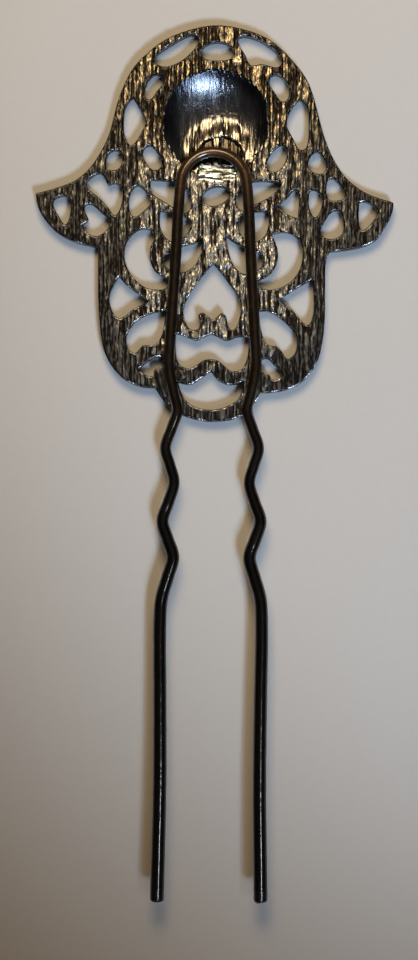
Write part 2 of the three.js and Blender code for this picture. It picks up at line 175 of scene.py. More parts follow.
WIRE_X = (wire_low[0] + wire_high[0]) / 2
BOW_RADIUS = 4.15
BOW_STEPS = 10
WIRE_CAD_RADIUS = 0.75
BOW_Y = wire_high[1] - BOW_RADIUS - WIRE_CAD_RADIUS
WIRE_SEAT = 0.02  # gap between the wire and the plate
WIRE_SIDES = 24
WIRE_STEP = 0.22
WIRE_LUMPS = 0.014
TIP_LUMPS = 0.004
PRONG_END = -54.45
TIP_START = -52.9
TIP_ROUNDING = 0.42
TIP_TUCK = 0.06  # how far the wire runs on inside its tip
RIGHT_TIP_LEAN = 0.02
BROAD_LUMPS = (1.1, 1.9, 51)  # length along the wire, waves to a radian, seed
SMALL_LUMPS = (0.5, 3.1, 52)
BROWN_OVER = (-4, 16)  # y at which black lacquer turns brown, partly as painted warm-lamp sheen
COPPER_OVER = (30, 38.5)  # y at which the brown turns copper: rubbed, with painted warm-lamp sheen
PRONG_LIFT = 1.8
NECK_Y = 4.0  # where the prongs start to rise from the plate
CAD_PRONG_END = -52.7
PRONG_SLOPE = PRONG_LIFT / (NECK_Y - CAD_PRONG_END)

# Radius over the lacquer at places along the fork. It has gathered towards the tips.
RADIUS_AT = {-54.5: 0.88, -46: 0.87, -10: 0.815, -2: 0.715, 50: 0.67}
BOW_WIRE_RADIUS = RADIUS_AT[50]

# One leg of the wire, half width and height along the fork, from the bow to the tip.
LEG = [
    (4.45, 30.8), (4.6, 27.3), (4.95, 21.0), (5.3, 15.4), (5.4, 11.8), (4.85, 8.8),
    (4.35, 6.6), (5.05, 4.3), (5.8, 1.9), (5.25, -0.2), (4.7, -2.4), (5.35, -4.8),
    (6.1, -7.2), (5.45, -9.5), (4.77, -11.7), (5.4, -14.2), (6.15, -16.9), (6.33, -20.0),
    (6.25, -29.7), (6.2, -40.2), (6.4, -52.7), (6.42, PRONG_END),
]

SOLDER_NODES = (
    "solder_left_outer", "solder_left_inner", "solder_right_inner", "solder_right_outer",
)
SOLDER_SINK = 0.02  # how far a fillet reaches into the plate
SOLDER_FILL = 0.45  # its height as a share of the CAD block's
SOLDER_STEP = 0.13
SOLDER_INSETS = (0.06, 0.13)
SOLDER_OUTLINE_STEP = 0.12
SOLDER_EDGE = 0.1  # height at its edge and what it gains inside, as shares of the fill
SOLDER_SWELL = 0.75
SOLDER_LUMPY = 0.25

# ------------------------------------------------------------------ light and camera

WARM_LAMP = dict(
    direction=(-0.059, 0.496, 0.866), distance=0.272, radius=0.060, watts=1.48,
    colour=(1.0, 0.752, 0.439), aim=(0, 40), cone=120,
)
COOL_LAMP = dict(
    direction=(0.262, -0.465, 0.845), distance=1.1, radius=0.125, watts=33.0,
    colour=(0.595, 0.772, 1.0), aim=(72, 48), cone=23,
)
HIGH_LAMP = dict(  # draws the thin highlight on the prongs
    direction=(0.315, -0.135, 0.94), distance=0.9, radius=0.03, watts=2.3,
    colour=(0.90, 0.95, 1.0), aim=(0, -50), cone=12,
)
ROOM_COLOUR = (1.0, 0.80, 0.72, 1)
ROOM_STRENGTH = 0.03

FLOOR_HALF = 600
FLOOR_BRIGHT = (62, 53, 0)  # middle of the evenly pale part of the floor
FLOOR_PAINTED_SHADE = (80, 165)  # where the painted shade on the paper starts and where it is darkest

CAMERA_AT = (-0.44, -2.08, BACK_Z + 320)
CAMERA_TURN = 0.00714  # radians
CAMERA_SENSOR = 24
CAMERA_LENS = 64


# ------------------------------------------------------------------ noise

HASH_X, HASH_Y, HASH_SEED, HASH_SPREAD = 374761393, 668265263, 974634777, 1274126177
POSITIVE = 0x7FFFFFFF
LOW_BITS = 0xFFFF


def lattice(ix, iy, seed):
    """A repeatable value from 0 to 1 at every whole-number place."""
    mixed = ix.astype(np.int64) * HASH_X + iy.astype(np.int64) * HASH_Y + seed * HASH_SEED
    mixed = (mixed ^ (mixed >> 13)) & POSITIVE
    mixed = (mixed * HASH_SPREAD) & POSITIVE
    mixed = mixed ^ (mixed >> 16)
    return (mixed & LOW_BITS) / float(LOW_BITS)


def fade(t):
    """Eases a share from 0 to 1 with flat ends."""
    return t * t * t * (t * (6 * t - 15) + 10)


def noise(x, y, seed):
    """Smooth noise from 0 to 1 over whole-number cells."""
    x = np.asarray(x, dtype=float)
    y = np.asarray(y, dtype=float)
    ix = np.floor(x)
    iy = np.floor(y)
    fx = fade(x - ix)
    fy = fade(y - iy)
    a = lattice(ix, iy, seed)
    b = lattice(ix + 1, iy, seed)
    c = lattice(ix, iy + 1, seed)
    d = lattice(ix + 1, iy + 1, seed)
    return (a * (1 - fx) + b * fx) * (1 - fy) + (c * (1 - fx) + d * fx) * fy


def marks(x, y, kind, sway=0.0):
    """Noise from 0 to 1 with marks of the given kind's size."""
    (width, length), seed = kind
    return noise(x / width + sway, y / length, seed)


def uneven(x, y, kind, sway=0.0):
    """The same noise about zero, from -0.5 to 0.5."""
    return marks(x, y, kind, sway) - 0.5


def smoothstep(low, high, value):
    """Rises smoothly from 0 at low to 1 at high; low may be the larger one."""
    t = np.clip((value - low) / (high - low), 0, 1)
    return t * t * (3 - 2 * t)


# ------------------------------------------------------------------ contours

def area(loop):
    """Signed area: positive when the loop runs anticlockwise."""
    x, y = loop[:, 0], loop[:, 1]
    return 0.5 * float(np.sum(x * np.roll(y, -1) - np.roll(x, -1) * y))


def back_face_loops():
    """The loops that bound the flat back face of the CAD plate, largest first."""
    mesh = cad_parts["hamsa_plate"].data
    points = np.empty(len(mesh.vertices) * 3)
    mesh.vertices.foreach_get("co", points)
    points = points.reshape(-1, 3) / MM
    keys = [(round(x, 2), round(y, 2)) for x, y, _ in points]
    flat = np.abs(points[:, 2] - BACK_Z) < 0.01
    directed = set()
    for face in mesh.polygons:
        corners = list(face.vertices)
        if all(flat[i] for i in corners):
            ring = [keys[i] for i in corners]
            directed.update(zip(ring, ring[1:] + ring[:1]))
    following = {a: b for a, b in directed if (b, a) not in directed and a != b}
    loops = []
    while following:
        start = next(iter(following))
        loop = [start]
        here = following.pop(start)
        while here != start and here in following:
            loop.append(here)
            here = following.pop(here)
        loops.append(np.array(loop))
    return sorted(loops, key=lambda loop: -abs(area(loop)))


def catmull_rom(points, step, closed):
    """Points about a step apart on a smooth curve through the given ones."""
    points = np.asarray(points, dtype=float)
    count = len(points)
    spans = count if closed else count - 1
    result = []
    for i in range(spans):
        p1 = points[i]
        p2 = points[(i + 1) % count]
        p0 = points[i - 1] if closed or i > 0 else 2 * p1 - p2
        p3 = points[(i + 2) % count] if closed or i + 2 < count else 2 * p2 - p1
        d0 = max(np.linalg.norm(p1 - p0), 1e-6) ** 0.5
        d1 = max(np.linalg.norm(p2 - p1), 1e-6) ** 0.5
        d2 = max(np.linalg.norm(p3 - p2), 1e-6) ** 0.5
        m1 = (p1 - p0) / d0 - (p2 - p0) / (d0 + d1) + (p2 - p1) / d1
        m2 = (p2 - p1) / d1 - (p3 - p1) / (d1 + d2) + (p3 - p2) / d2
        m1, m2 = m1 * d1, m2 * d1
        pieces = max(1, int(round(np.linalg.norm(p2 - p1) / step)))
        for k in range(pieces):
            t = k / pieces
            result.append(
                (2 * t**3 - 3 * t**2 + 1) * p1 + (t**3 - 2 * t**2 + t) * m1
                + (3 * t**2 - 2 * t**3) * p2 + (t**3 - t**2) * m2
            )
    if not closed:
        result.append(points[-1])
    return np.array(result)


def fine_loop(loop):
    """A CAD loop made smooth and even, with its real corners kept."""
    before = loop - np.roll(loop, 1, axis=0)
    after = np.roll(loop, -1, axis=0) - loop
    turn = np.arctan2(
        before[:, 0] * after[:, 1] - before[:, 1] * after[:, 0], np.sum(before * after, axis=1)
    )
    corners = [i for i in range(len(loop)) if abs(turn[i]) > CORNER]
    if not corners:
        return catmull_rom(loop, CONTOUR_STEP, closed=True)
    runs = []
    for k, start in enumerate(corners):
        stop = corners[(k + 1) % len(corners)]
        count = (stop - start) % len(loop) or len(loop)
        run = loop[[(start + i) % len(loop) for i in range(count + 1)]]
        runs.append(catmull_rom(run, CONTOUR_STEP, closed=False)[:-1])
    return np.vstack(runs)


def soften(loop, rounds):
    """Takes the knife edge off the corners of a loop."""
    for _ in range(rounds):
        loop = 0.25 * np.roll(loop, 1, axis=0) + 0.5 * loop + 0.25 * np.roll(loop, -1, axis=0)
    return loop


def inward_normals(loop):
    """Unit normals that point into the metal: to the left of a loop's direction."""
    along = np.roll(loop, -1, axis=0) - np.roll(loop, 1, axis=0)
    along /= np.maximum(np.linalg.norm(along, axis=1, keepdims=True), 1e-9)
    return np.column_stack([-along[:, 1], along[:, 0]])


def plate_contours():
    """The plate's outline, anticlockwise, then its openings, clockwise."""
    loops = back_face_loops()
    outline = loops[0]
    openings = [loop for loop in loops[2:] if abs(area(loop)) > MIN_OPENING]  # 1 is the dish
    if area(outline) < 0:
        outline = outline[::-1]
    openings = [loop if area(loop) < 0 else loop[::-1] for loop in openings]
    return [soften(fine_loop(loop), 2) for loop in [outline] + openings]


contours = plate_contours()

# ------------------------------------------------------------------ meshes

def tree_of(loop_list):
    """A tree for finding the nearest point of the loops."""
    points = np.vstack(loop_list)
    tree = KDTree(len(points))
    for i, (x, y) in enumerate(points):
        tree.insert((x, y, 0.0), i)
    tree.balance()
    return tree


def nearest(tree, points):
    """Which of the tree's points is nearest to each given one."""
    return np.array([tree.find((x, y, 0.0))[1] for x, y in points])


def distances(tree, points):
    """How far each point is from the tree's nearest one."""
    return np.array([tree.find((x, y, 0.0))[2] for x, y in points])


def inside_rows(loop_list, step):
    """Points of a triangular grid that lie in the metal."""
    low = loop_list[0].min(axis=0)
    high = loop_list[0].max(axis=0)
    starts = np.vstack(loop_list)
    ends = np.vstack([np.roll(loop, -1, axis=0) for loop in loop_list])
    rows = []
    y = low[1] + step * FIRST_ROW
    odd = False
    while y < high[1]:
        crosses = (starts[:, 1] <= y) != (ends[:, 1] <= y)
        a, b = starts[crosses], ends[crosses]
        xs = np.sort(a[:, 0] + (y - a[:, 1]) * (b[:, 0] - a[:, 0]) / (b[:, 1] - a[:, 1]))
        columns = np.arange(low[0] + (step / 2 if odd else 0), high[0], step)
        within = np.searchsorted(xs, columns) % 2 == 1
        rows.append(np.column_stack([columns[within], np.full(within.sum(), y)]))
        y += step * ROW_HEIGHT
        odd = not odd
    return np.vstack(rows)


def inset_rows(loop_list, tree, insets):
    """Rows of points that follow the loops at each inset, clear of other edges."""
    rows = []
    for loop in loop_list:
        normals = inward_normals(loop)
        for depth in insets:
            row = loop + normals * depth
            gap = distances(tree, row)
            rows.append(row[gap > depth * 0.9])
    return np.vstack(rows)


def loop_edges(loop_list):
    """Index pairs that close each loop, for loops stacked one after another."""
    edges = []
    start = 0
    for loop in loop_list:
        count = len(loop)
        edges += [(start + i, start + (i + 1) % count) for i in range(count)]
        start += count
    return edges


def sheet(loop_list, step, insets, rings=()):
    """Triangulates the metal inside the loops.

    Gives the points, the output point of each contour point, the triangles, and how far
    each point is from the nearest edge.
    """
    tree = tree_of(loop_list)
    edge_points = np.vstack(loop_list)
    inset = inset_rows(loop_list, tree, insets)
    grid = inside_rows(loop_list, step)
    grid = grid[distances(tree, grid) > insets[-1] + step * 0.5]
    extra = [ring[distances(tree, ring) > 0.1] for ring in rings]
    if extra:
        ring_tree = tree_of(extra)
        grid = grid[distances(ring_tree, grid) > step * 0.45]
        inset = inset[distances(ring_tree, inset) > step * 0.3]
    points = np.vstack([edge_points, inset, grid] + extra)
    result = delaunay_2d_cdt([Vector(p) for p in points], loop_edges(loop_list), [], 0, 1e-6)
    coords = np.array([tuple(v) for v in result[0]])
    place = {source: i for i, sources in enumerate(result[3]) for source in sources}
    on_edge = np.array([place[i] for i in range(len(edge_points))])
    triangles = np.array([tuple(f) for f in result[2]])
    middles = coords[triangles].mean(axis=1)
    by = nearest(tree, middles)
    inwards = np.vstack([inward_normals(loop) for loop in loop_list])
    in_metal = np.sum((middles - edge_points[by]) * inwards[by], axis=1) > 0
    return coords, on_edge, triangles[in_metal], distances(tree, coords)


def add_piece(name, points, faces, node, material, smooth_below=60):
    """A smooth mesh piece, given in millimetres, that stands for a CAD node."""
    mesh = bpy.data.meshes.new(name)
    mesh.from_pydata((points * MM).tolist(), [], faces)
    mesh.validate()
    mesh.shade_smooth()
    mesh.set_sharp_from_angle(angle=math.radians(smooth_below))
    piece = bpy.data.objects.new(name, mesh)
    bpy.context.scene.collection.objects.link(piece)
    mesh.materials.append(material)
    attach(piece, "root")
    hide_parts(node)
    return piece


def paint(piece, layers):
    """Stores one value per point for each named layer, for the materials to read."""
    for name, values in layers.items():
        layer = piece.data.attributes.new(name, "FLOAT", "POINT")
        layer.data.foreach_set("value", np.asarray(values, dtype=np.float32))


# ------------------------------------------------------------------ plate relief

def grain(x, y):
    """The casting's linear grain about zero: long furrows broken into dashes."""
    sway = 1.5 * marks(x, y, FURROW_SWAY)
    furrows = smoothstep(0.25, 0.75, marks(x, y, FURROWS, sway)) - 0.5
    dashes = uneven(x, y, DASHES, sway)
    flecks = uneven(x, y, FLECKS, sway)
    return 0.65 * furrows + 0.75 * dashes + 0.45 * flecks


def calm_and_shade_share(x, y):
    """Where the casting is dark and smooth, from 0 to 1: low down and out on the sides;
    towards the foot the darkness is painted shade.
    """
    out, up = np.abs(x), y - FOOT_Y
    side = smoothstep(*CALM_OUT, out) * smoothstep(*CALM_UNDER, up)
    low = smoothstep(*CALM_LOW, up)
    share = 0.75 * side + 0.25 * low * side + 0.3 * smoothstep(*CALM_WINGS, out)
    share = share + 0.75 * smoothstep(*CALM_FOOT, up)
    return np.clip(share + 0.5 * uneven(x, y, CALM_CLOUDS), 0, 1)


def gold_share(x, y):
    """How golden the bright grain is, from 0 to 1: most at the top, as painted warm-lamp
    sheen.
    """
    top = smoothstep(*GOLD_OVER, y - FOOT_Y)
    return np.clip(top + 0.4 * uneven(x, y, GOLD_CLOUDS), 0, 1)


def rubbed_and_sheen_share(x, y):
    """How far more high spots turn bright, as wear and painted sheen: most between the legs,
    some at the top.
    """
    up = y - FOOT_Y
    top = smoothstep(*RUBBED_TOP, up)
    middle = smoothstep(*RUBBED_IN, np.abs(x)) * smoothstep(*RUBBED_OVER, up) * (1 - top)
    return np.maximum(0.5 * top, 1.15 * middle)


def about(size, offsets):
    """The two limits of a band, given how far each is from a size."""
    return size + offsets[0], size + offsets[1]


def dish_radius(x, y):
    """Distance from the middle of the dish."""
    return np.hypot(x - DISH[0], y - DISH[1])


def mound_radius(x, y):
    """Distance from the middle of the mound, in its own oval measure."""
    return np.hypot((x - MOUND[0]) / MOUND_WIDE, y - MOUND[1])


def bow_distance(x, y):
    """Distance from the middle line of the wire's bow and upper legs."""
    leg = np.abs(np.abs(x - WIRE_X) - BOW_RADIUS)
    arc = np.abs(np.hypot(x - WIRE_X, y - BOW_Y) - BOW_RADIUS)
    return np.where(y > BOW_Y, arc, leg)


def mound(x, y):
    """The metal that holds the bow in the dish: its height, and where its recess is."""
    wobble = uneven(x, y, PIT_WOBBLE)
    out = mound_radius(x, y) + 0.7 * uneven(x, y, MOUND_FRAY)
    height = MOUND_HEIGHT * smoothstep(*about(MOUND_RADIUS, MOUND_SIDES), out)
    height = height * (1 + 0.25 * uneven(x, y, MOUND_WAVES))
    away = np.hypot((x - MOUND[0]) / PIT_HALF[0], (y - MOUND[1] + PIT_DROP) / PIT_HALF[1])
    pit = smoothstep(1.04, 0.9, away + 0.12 * wobble)
    post = smoothstep(*POST_HALF, np.abs(x - MOUND[0] + POST_LEFT) + 0.15 * wobble)
    pit = pit * (1 - 0.85 * post)
    return height - PIT_DEPTH * pit, pit


def bowl(x, y, radius):
    """Height of the scratched and pitted dish, and where the recess behind the bow is."""
    scratch = uneven(x, y, HAIR_SCRATCHES) * 0.6 + uneven(x, y, DISH_SCRATCHES)
    pits = smoothstep(0.6, 0.75, marks(x, y, DISH_PITS))
    pitted = smoothstep(*PITTED_OUT, np.hypot((x - PITTED[0]) / PITTED_WIDE, y - PITTED[1]))
    raised, hollow = mound(x, y)
    curve = DISH_FLOOR_Z + DISH_BALL - np.sqrt(np.maximum(DISH_BALL**2 - radius**2, 1))
    return curve + 0.015 * scratch - 0.02 * pits * pitted + raised, hollow


def filed_facet(x, y, under):
    """Height of the filed patch, and where it is cut into the surface that it meets."""
    plane = BACK_Z - 0.03 - (y - FACET_FOOT) * FACET_SLOPE
    plane = plane + uneven(x, y, LONG_STROKES) * 0.05 + uneven(x, y, SHORT_STROKES) * 0.03
    shift = FACET_RAGGED * uneven(x, y, FACET_ENDS)
    across = (x > FACET_X[0] + shift) & (x < FACET_X[1] + shift)
    along = (y > FACET_FOOT) & (y < FACET_TOP)
    return plane, across & along & (plane < under + 0.02)


def edge_drop(edge):
    """How far the rounded edge falls away, from the distance to the edge."""
    bent = np.clip(edge / EDGE_ROUND, 0, 1)
    return EDGE_ROUND * (1 - np.sqrt(1 - (1 - bent) ** 2))


def glints(xy, edge):
    """Where the rounded rims get a painted highlight, from 0 to 1, in broken dashes.

    Rims that face the foot do so everywhere; rims that face the top, only in the openings.
    """
    x, y = xy[:, 0], xy[:, 1]
    by = nearest(tree_of(contours), xy)
    outward = -np.vstack([inward_normals(loop) for loop in contours])[by]
    in_opening = by >= len(contours[0])
    footward = smoothstep(0.3, 0.8, 0.3 * outward[:, 0] - 0.9 * outward[:, 1])
    topward = 0.4 * smoothstep(0.4, 0.9, outward[:, 1]) * in_opening
    dashes = smoothstep(0.4, 0.6, marks(x, y, GLINT_DASHES))
    dashes = dashes * (0.4 + 0.6 * smoothstep(*GLINTS_UNDER, y - FOOT_Y))
    return (footward + topward) * dashes * smoothstep(*GLINT_IN, edge)


def back_relief(xy, edge):
    """Height of the back and the layers that its material reads."""
    x, y = xy[:, 0], xy[:, 1]
    radius = dish_radius(x, y)
    rough = grain(x, y)
    calm_and_shade = calm_and_shade_share(x, y)
    gold = gold_share(x, y)
    flat = BACK_Z - BACK_LEVEL + rough * RELIEF * (1 - 0.7 * calm_and_shade + 0.35 * gold)

    ragged = radius + DISH_RAGGED * uneven(x, y, RIM_FRAY)
    foot, top, outside = RIM_BEAD
    rim = smoothstep(foot, top, np.abs(ragged - DISH_RADIUS - outside))
    flat = flat + 0.05 * rim * marks(x, y, RIM_BEADS)

    inside, hollow = bowl(x, y, radius)
    z = np.where(ragged < DISH_RADIUS, np.minimum(inside, flat), flat)
    plane, in_facet = filed_facet(x, y, z)
    z = np.where(in_facet, plane, z)
    z = z - edge_drop(edge)

    upper = smoothstep(*RIM_UPPER, y - DISH[1])
    layers = {
        "ridge": np.clip(0.5 + rough * 0.75, 0, 1),
        "calm_and_shade": calm_and_shade,
        # golden top: painted warm-lamp sheen
        "gold": gold,
        "rubbed_and_sheen": rubbed_and_sheen_share(x, y),
        "dish": smoothstep(*about(DISH_RADIUS, DISH_LOOK), ragged) * (1 - in_facet),
        # painted dark reflection inside the upper rim
        "rim": smoothstep(*about(DISH_RADIUS, RIM_PAINTED_REFLECTION), ragged) * upper,
        "brass": smoothstep(*about(MOUND_RADIUS, MOUND_GILT), mound_radius(x, y)),
        "soot_and_shade": np.maximum(hollow, smoothstep(*SOOT_AND_SHADE_HALF, bow_distance(x, y))),
        "facet": in_facet.astype(float),
        "lip": smoothstep(*LIP_IN, edge),
        "painted_glint": glints(xy, edge),
    }
    return np.minimum(z, BACK_Z), layers


def front_relief(xy, edge, from_outline):
    """Height of the front: a raised border, a ring and a low boss over flat openwork."""
    x, y = xy[:, 0], xy[:, 1]
    radius = dish_radius(x, y)
    border = smoothstep(BORDER + BORDER_SHOULDER, BORDER, from_outline)
    ring = smoothstep(*RING_HALF, np.abs(radius - RING_RADIUS))
    raised = np.maximum(border, ring)
    z = WEB_FRONT_Z - (WEB_FRONT_Z - FRONT_Z) * raised
    ball = DISH_BALL + DISH_WALL
    boss = DISH_FLOOR_Z - DISH_WALL + ball - np.sqrt(np.maximum(ball**2 - radius**2, 1))
    z = np.where(radius < RING_RADIUS, np.minimum(z, boss), z)
    z = z + edge_drop(edge)
    z = z + FRONT_WAVES * marks(x, y, FRONT_GRAIN)
    return np.maximum(z, FRONT_Z)


# ------------------------------------------------------------------ plate

def circle(centre, radius, step):
    """Points about a step apart on a circle."""
    count = int(2 * math.pi * radius / step)
    angles = np.arange(count) * 2 * math.pi / count
    return centre + radius * np.column_stack([np.cos(angles), np.sin(angles)])


def wall_faces(rows):
    """Triangles that join rows of contour points, from the back edge to the front edge."""
    faces = []
    start = 0
    for loop in contours:
        here = np.arange(len(loop)) + start
        there = np.roll(here, -1)
        for upper, lower in zip(rows, rows[1:]):
            faces.append(np.column_stack([upper[there], upper[here], lower[here]]))
            faces.append(np.column_stack([upper[there], lower[here], lower[there]]))
        start += len(loop)
    return faces


def build_plate(material):
    """The casting: a finely meshed back, a coarser front and the walls between them."""
    rims = [circle(DISH, DISH_RADIUS + gap, BACK_STEP) for gap in DISH_ROWS]
    back, back_edge, back_faces, edge = sheet(contours, BACK_STEP, BACK_INSETS, rims)
    back_z, layers = back_relief(back, edge)
    front, front_edge, front_faces, edge = sheet(contours, FRONT_STEP, FRONT_INSETS)
    from_outline = distances(tree_of(contours[:1]), front)
    front_z = front_relief(front, edge, from_outline)

    front_start = len(back)
    points = [np.column_stack([back, back_z]), np.column_stack([front, front_z])]
    faces = [back_faces, front_faces[:, ::-1] + front_start]
    rim_points = np.vstack(contours)
    top, bottom = back_z[back_edge], front_z[front_edge]
    rows = [back_edge]
    row_start = front_start + len(front)
    for k in range(1, WALL_ROWS + 1):
        share = k / (WALL_ROWS + 1)
        z = top * (1 - share) + bottom * share
        points.append(np.column_stack([rim_points, z]))
        rows.append(np.arange(len(rim_points)) + row_start)
        row_start += len(rim_points)
    rows.append(front_edge + front_start)
    points, faces = np.vstack(points), np.vstack(faces + wall_faces(rows))
    plate = add_piece(
        "openwork_plate", points, faces.tolist(), "hamsa_plate", material,
        smooth_below=50,
    )
    rest = len(points) - len(back)
    elsewhere = {"ridge": 0.3, "calm_and_shade": 1.0}
    paint(plate, {
        name: np.concatenate([values, np.full(rest, elsewhere.get(name, 0.0))])
        for name, values in layers.items()
    })


# ------------------------------------------------------------------ wire, tips, solder

def wire_radius(y):
    """Radius of the lacquered wire at a height along the fork."""
    return np.interp(y, list(RADIUS_AT), list(RADIUS_AT.values()))


def wire_centre_z(y):
    """Height of the wire's middle line: flat on the plate, then rising to the tips."""
    seat = BACK_Z + BOW_WIRE_RADIUS + WIRE_SEAT
    return seat + np.maximum(0, NECK_Y - y) * PRONG_SLOPE


def wire_route():
    """Middle line of the wire, from the left tip round the bow to the right tip."""
    left = [(WIRE_X - half, y) for half, y in reversed(LEG)]
    right = [(WIRE_X + half, y) for half, y in LEG]
    angles = [math.pi * (1 - i / BOW_STEPS) for i in range(BOW_STEPS + 1)]
    bow = [
        (WIRE_X + BOW_RADIUS * math.cos(angle), BOW_Y + BOW_RADIUS * math.sin(angle))
        for angle in angles
    ]
    return catmull_rom(left + bow + right, WIRE_STEP, closed=False)


def waves_of(travelled, turns, kind):
    """Noise about zero that runs along and round the wire."""
    length, to_radian, seed = kind
    return noise(travelled / length, turns * to_radian, seed) - 0.5


def lumpiness(travelled, turns):
    """Slight unevenness of the lacquer along and round the wire."""
    broad = waves_of(travelled, turns, BROAD_LUMPS)
    return broad + 0.7 * waves_of(travelled, turns, SMALL_LUMPS)


def tube_faces(count, sides):
    """Faces of a tube of count rings, closed by a point at each end."""
    faces = []
    for i in range(count - 1):
        for k in range(sides):
            a, b = i * sides + k, i * sides + (k + 1) % sides
            faces.append((a, b, b + sides, a + sides))
    first, last = count * sides, count * sides + 1
    for k in range(sides):
        after = (k + 1) % sides
        faces.append((first, after, k))
        faces.append((last, (count - 1) * sides + k, (count - 1) * sides + after))
    return faces


def sweep(route, radii, lumps):
    """Points and faces of a tube along a nearly flat route, with both ends closed."""
    line = np.column_stack([route, wire_centre_z(route[:, 1])])
    along = np.gradient(line, axis=0)
    along /= np.linalg.norm(along, axis=1, keepdims=True)
    across = np.cross(along, [0, 0, 1.0])
    across /= np.linalg.norm(across, axis=1, keepdims=True)
    upward = np.cross(across, along)
    turns = 2 * np.pi * np.arange(WIRE_SIDES) / WIRE_SIDES
    steps = np.linalg.norm(np.diff(line, axis=0), axis=1)
    travelled = np.concatenate([[0], np.cumsum(steps)])
    size = radii[:, None] + lumps * lumpiness(travelled[:, None], turns[None, :])
    ring = (
        line[:, None, :]
        + across[:, None, :] * (np.cos(turns)[None, :] * size)[:, :, None]
        + upward[:, None, :] * (np.sin(turns)[None, :] * size)[:, :, None]
    )
    points = np.vstack([ring.reshape(-1, 3), line[:1], line[-1:]])
    return points, tube_faces(len(line), WIRE_SIDES)


def build_wire(material):
    """The bent wire, whose ends run on a little way inside the tips."""
    route = wire_route()
    route = route[route[:, 1] > TIP_START]
    tucked = [0.0, TIP_START - TIP_TUCK - route[0, 1]]
    route = np.vstack([route[0] + tucked, route, route[-1] + tucked])
    points, faces = sweep(route, wire_radius(route[:, 1]), WIRE_LUMPS)
    add_piece("bent_wire", points, faces, "fork_wire", material)


def build_tip(name, side, node, material):
    """The blunt rounded drop of lacquer on a prong's end."""
    body_steps, round_steps = 6, 14
    body = TIP_START - PRONG_END - TIP_ROUNDING
    profile = []
    for i in range(body_steps + 1):
        y = TIP_START - body * i / body_steps
        profile.append((y, float(wire_radius(y))))
    full = profile[-1][1]
    for i in range(1, round_steps + 1):
        angle = math.pi / 2 * i / round_steps
        y = PRONG_END + TIP_ROUNDING * (1 - math.sin(angle))
        profile.append((y, full - TIP_ROUNDING * (1 - math.cos(angle))))
    tip_x = WIRE_X + side * LEG[-1][0]
    route = np.array([(tip_x, y) for y, _ in profile])
    radii = np.array([radius for _, radius in profile])
    if side > 0:
        route[:, 0] += np.linspace(0, RIGHT_TIP_LEAN, len(route))
    points, faces = sweep(route, radii, TIP_LUMPS)
    add_piece(name, points, faces, node, material)


def convex_hull(points):
    """The convex hull of sorted points, anticlockwise."""
    def half(sequence):
        chain = []
        for p in sequence:
            while len(chain) > 1:
                (ax, ay), (bx, by) = chain[-2], chain[-1]
                if (bx - ax) * (p[1] - ay) - (by - ay) * (p[0] - ax) > 0:
                    break
                chain.pop()
            chain.append(p)
        return chain[:-1]
    return half(points) + half(points[::-1])


def footprint(node):
    """A softened outline of a CAD block seen from above."""
    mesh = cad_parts[node].data
    corners = {(round(v.co.x / MM, 3), round(v.co.y / MM, 3)) for v in mesh.vertices}
    hull = convex_hull(sorted(corners))
    return soften(catmull_rom(np.array(hull), SOLDER_OUTLINE_STEP, closed=True), 6)


def build_solder(node, material):
    """A flowed fillet over a CAD block's footprint, low at its edge and full inside."""
    _, high = node_box(node)
    coords, on_edge, faces, edge = sheet([footprint(node)], SOLDER_STEP, SOLDER_INSETS)
    base = BACK_Z - SOLDER_SINK
    height = high[2] - base - 0.02
    rise = smoothstep(0, max(edge.max(), 0.2), edge) * SOLDER_SWELL + SOLDER_EDGE
    lumps = marks(coords[:, 0], coords[:, 1], SOLDER_LUMPS) * SOLDER_LUMPY
    lumps = lumps + (1 - SOLDER_LUMPY)
    top = base + SOLDER_FILL * height * rise * lumps
    count = len(coords)
    under = np.full(count, base - 0.01)
    points = np.vstack([np.column_stack([coords, top]), np.column_stack([coords, under])])
    walls = []
    for here, there in zip(on_edge, np.roll(on_edge, -1)):
        walls.append((there, here, here + count))
        walls.append((there, here + count, there + count))
    faces = np.vstack([faces, faces[:, ::-1] + count, walls])
    add_piece(node + "_fillet", points, faces.tolist(), node, material)


# ------------------------------------------------------------------ materials

